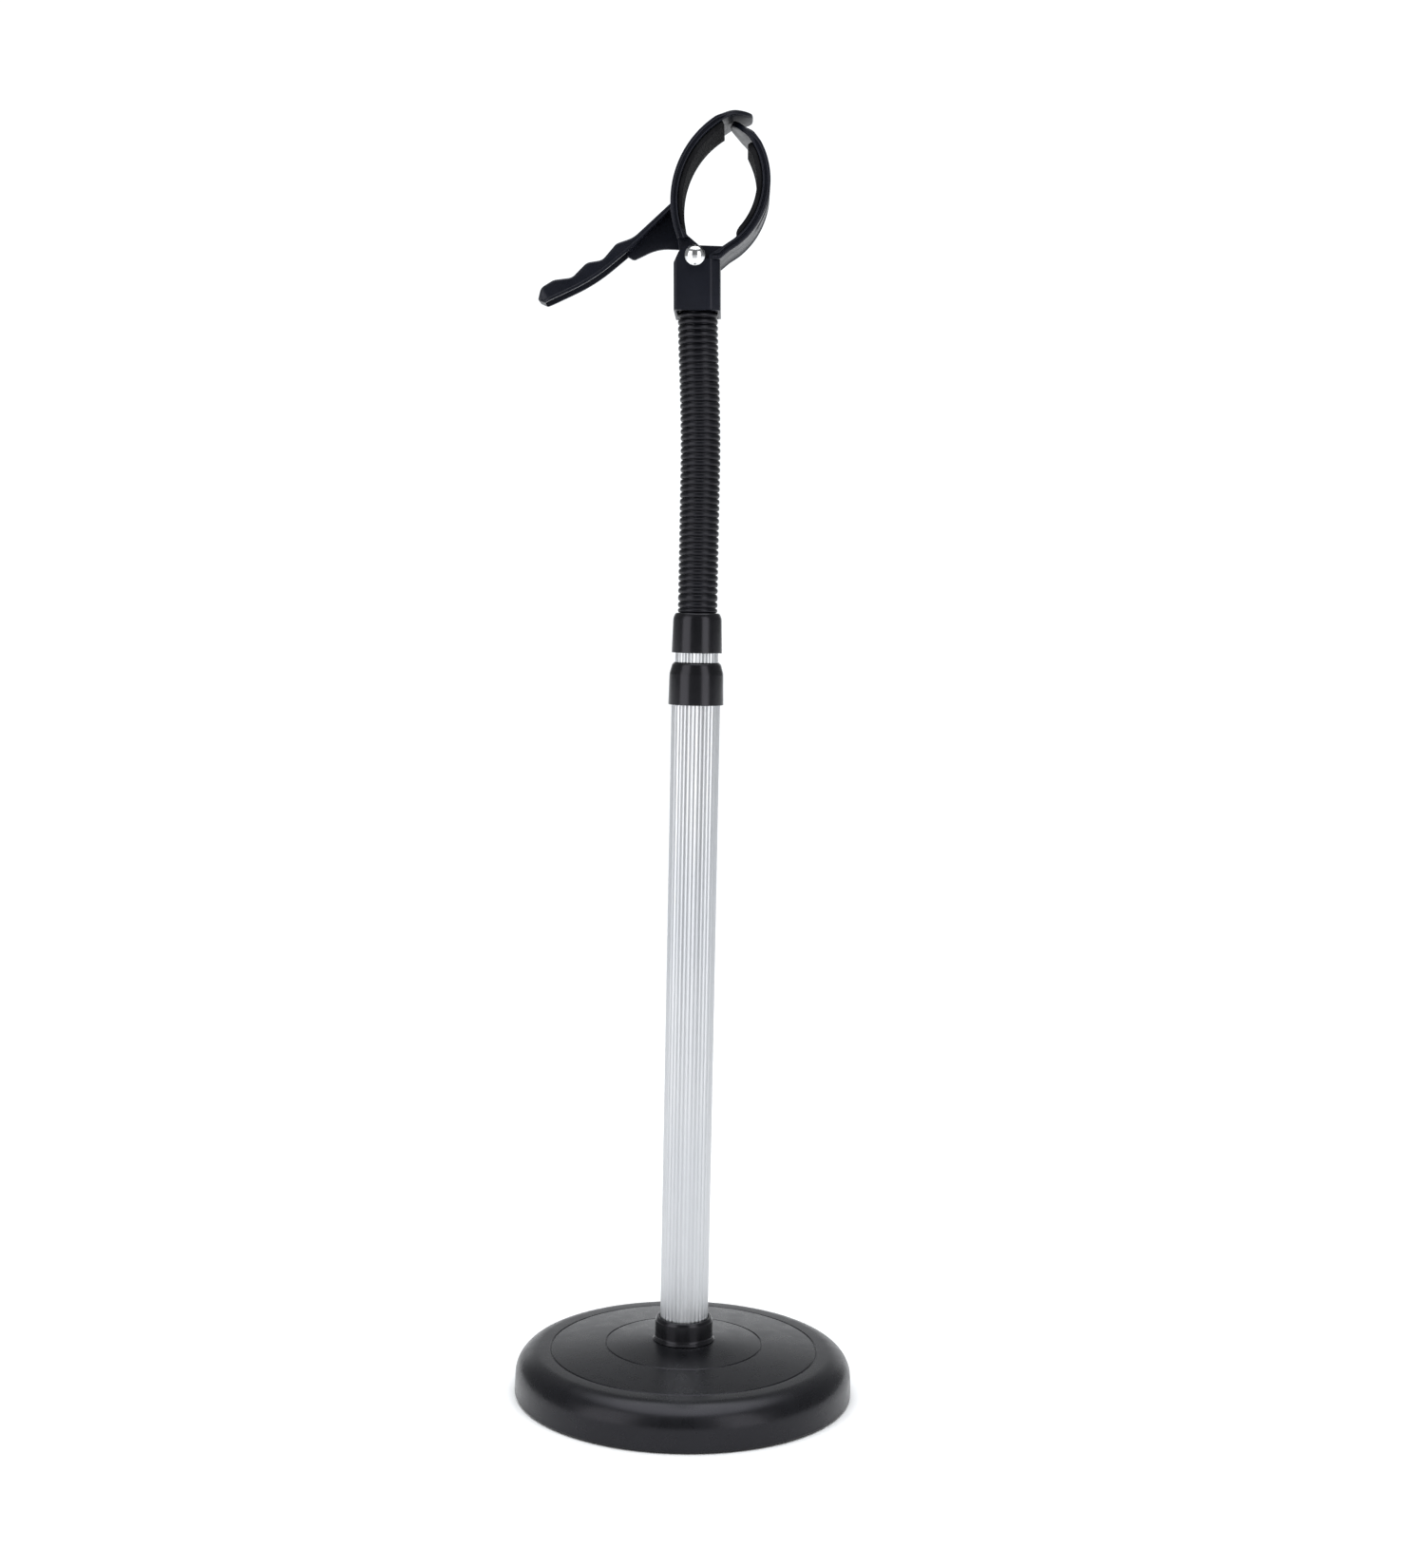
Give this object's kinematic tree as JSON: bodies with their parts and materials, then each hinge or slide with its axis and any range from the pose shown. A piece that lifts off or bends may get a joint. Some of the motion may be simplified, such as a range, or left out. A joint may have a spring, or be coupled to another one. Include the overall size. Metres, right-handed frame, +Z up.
{
  "type": "hair dryer stand",
  "caption": "Free-standing holder: round weighted base, telescopic ribbed pole, bendable gooseneck and a sprung ring clamp with a squeeze lever.",
  "frame": {"origin": "on the ground under the middle of the round base", "axes": "+Z up along the pole; the clamp opens in the XZ plane, its squeeze lever points to -X and its rivet runs along Y"},
  "size_m": [0.1752, 0.1752, 0.6525],
  "materials": {
    "base_black": "satin black moulded plastic",
    "collar_black": "satin-gloss black plastic",
    "cement": "rough cast cement",
    "plate_black": "fine textured black plastic",
    "zinc_steel": "zinc plated",
    "foot_rubber": "matt black rubber",
    "pole_aluminium": "bright anodised, ribbed along its length",
    "lock_nylon": "natural nylon",
    "neck_black": "satin black corrugated plastic sleeve",
    "core_steel": "oiled steel",
    "clamp_black": "gloss black moulded plastic",
    "pad_rubber": "matt black rubber",
    "rivet_chrome": "polished chrome plate",
    "spring_steel": "bright spring wire"
  },
  "bodies": {
    "base": {"base_shell": "base_black", "base_weight": "cement", "bottom_plate": "plate_black", "bottom_plate_screws": "zinc_steel", "foot_ring": "foot_rubber", "centre_bolt": "zinc_steel", "centre_washer": "zinc_steel", "pole_foot_plug": "lock_nylon", "base_collar": "collar_black", "lower_pole": "pole_aluminium", "lower_ferrule": "collar_black"},
    "lock": {"lock_expander": "lock_nylon", "lock_cone": "lock_nylon"},
    "upper_stage": {"upper_pole": "pole_aluminium", "lock_plug": "lock_nylon", "lock_stud": "zinc_steel", "upper_ferrule": "collar_black", "gooseneck_lower_fitting": "zinc_steel", "gooseneck_core_00": "core_steel", "gooseneck_cover_00": "neck_black"},
    "neck_01": {"gooseneck_core_01": "core_steel", "gooseneck_cover_01": "neck_black"},
    "neck_02": {"gooseneck_core_02": "core_steel", "gooseneck_cover_02": "neck_black"},
    "neck_03": {"gooseneck_core_03": "core_steel", "gooseneck_cover_03": "neck_black"},
    "neck_04": {"gooseneck_core_04": "core_steel", "gooseneck_cover_04": "neck_black"},
    "neck_05": {"gooseneck_core_05": "core_steel", "gooseneck_cover_05": "neck_black"},
    "neck_06": {"gooseneck_core_06": "core_steel", "gooseneck_cover_06": "neck_black"},
    "neck_07": {"gooseneck_core_07": "core_steel", "gooseneck_cover_07": "neck_black"},
    "neck_08": {"gooseneck_core_08": "core_steel", "gooseneck_cover_08": "neck_black"},
    "neck_09": {"gooseneck_core_09": "core_steel", "gooseneck_cover_09": "neck_black"},
    "neck_10": {"gooseneck_core_10": "core_steel", "gooseneck_cover_10": "neck_black"},
    "neck_11": {"gooseneck_core_11": "core_steel", "gooseneck_cover_11": "neck_black"},
    "head": {"gooseneck_core_12": "core_steel", "gooseneck_cover_12": "neck_black", "neck_nut": "zinc_steel", "bracket": "clamp_black", "fixed_jaw": "clamp_black", "fixed_pad": "pad_rubber", "rivet": "rivet_chrome", "pivot_spacer": "lock_nylon", "torsion_spring": "spring_steel"},
    "lever": {"lever_jaw": "clamp_black", "lever_pad": "pad_rubber", "spring_lever_leg": "spring_steel"}
  },
  "joints": [
    {"name": "height_slide", "type": "slide", "parent": "base", "child": "lock", "axis": [0, 0, 1], "range_m": [-0.0045, 0.28]},
    {"name": "pole_twist", "type": "hinge", "parent": "lock", "child": "upper_stage", "pos_m": [0, 0, 0.393], "axis": [0, 0, 1], "continuous": true},
    {"name": "neck_side_1", "type": "hinge", "parent": "upper_stage", "child": "neck_01", "pos_m": [0, 0, 0.4088], "axis": [0.0349, 0.9994, 0], "range_deg": [-15, 15]},
    {"name": "neck_fore_1", "type": "hinge", "parent": "neck_01", "child": "neck_02", "pos_m": [0, 0, 0.4216], "axis": [0.9994, -0.0349, 0], "range_deg": [-15, 15]},
    {"name": "neck_side_2", "type": "hinge", "parent": "neck_02", "child": "neck_03", "pos_m": [0, 0, 0.4344], "axis": [0.0349, 0.9994, 0], "range_deg": [-15, 15]},
    {"name": "neck_fore_2", "type": "hinge", "parent": "neck_03", "child": "neck_04", "pos_m": [0, 0, 0.4472], "axis": [0.9994, -0.0349, 0], "range_deg": [-15, 15]},
    {"name": "neck_side_3", "type": "hinge", "parent": "neck_04", "child": "neck_05", "pos_m": [0, 0, 0.46], "axis": [0.0349, 0.9994, 0], "range_deg": [-15, 15]},
    {"name": "neck_fore_3", "type": "hinge", "parent": "neck_05", "child": "neck_06", "pos_m": [0, 0, 0.4728], "axis": [0.9994, -0.0349, 0], "range_deg": [-15, 15]},
    {"name": "neck_side_4", "type": "hinge", "parent": "neck_06", "child": "neck_07", "pos_m": [0, 0, 0.4856], "axis": [0.0349, 0.9994, 0], "range_deg": [-15, 15]},
    {"name": "neck_fore_4", "type": "hinge", "parent": "neck_07", "child": "neck_08", "pos_m": [-0.00031, 0, 0.4984], "axis": [0.9991, -0.0349, 0.0244], "range_deg": [-15, 15]},
    {"name": "neck_side_5", "type": "hinge", "parent": "neck_08", "child": "neck_09", "pos_m": [-0.00078, 0, 0.51119], "axis": [0.0349, 0.9994, 0.0013], "range_deg": [-15, 15]},
    {"name": "neck_fore_5", "type": "hinge", "parent": "neck_09", "child": "neck_10", "pos_m": [-0.00138, 0, 0.52397], "axis": [0.9983, -0.0349, 0.0471], "range_deg": [-15, 15]},
    {"name": "neck_side_6", "type": "hinge", "parent": "neck_10", "child": "neck_11", "pos_m": [-0.00208, 0, 0.53675], "axis": [0.0348, 0.9994, 0.0019], "range_deg": [-15, 15]},
    {"name": "neck_fore_6", "type": "hinge", "parent": "neck_11", "child": "head", "pos_m": [-0.00259, 0, 0.54954], "axis": [0.9986, -0.0349, 0.0401], "range_deg": [-15, 15]},
    {"name": "jaw_open", "type": "hinge", "parent": "head", "child": "lever", "pos_m": [-0.00426, 0, 0.5814], "axis": [0, -1, 0], "range_deg": [0, 45], "stiffness_Nm_per_rad": 0.6, "springref_deg": -45.84}
  ],
  "couplings": [
    {"joint": "neck_side_2", "follows": "neck_side_1", "ratio": 1},
    {"joint": "neck_fore_2", "follows": "neck_fore_1", "ratio": 1},
    {"joint": "neck_side_3", "follows": "neck_side_1", "ratio": 1},
    {"joint": "neck_fore_3", "follows": "neck_fore_1", "ratio": 1},
    {"joint": "neck_side_4", "follows": "neck_side_1", "ratio": 1},
    {"joint": "neck_fore_4", "follows": "neck_fore_1", "ratio": 1},
    {"joint": "neck_side_5", "follows": "neck_side_1", "ratio": 1},
    {"joint": "neck_fore_5", "follows": "neck_fore_1", "ratio": 1},
    {"joint": "neck_side_6", "follows": "neck_side_1", "ratio": 1},
    {"joint": "neck_fore_6", "follows": "neck_fore_1", "ratio": 1}
  ]
}
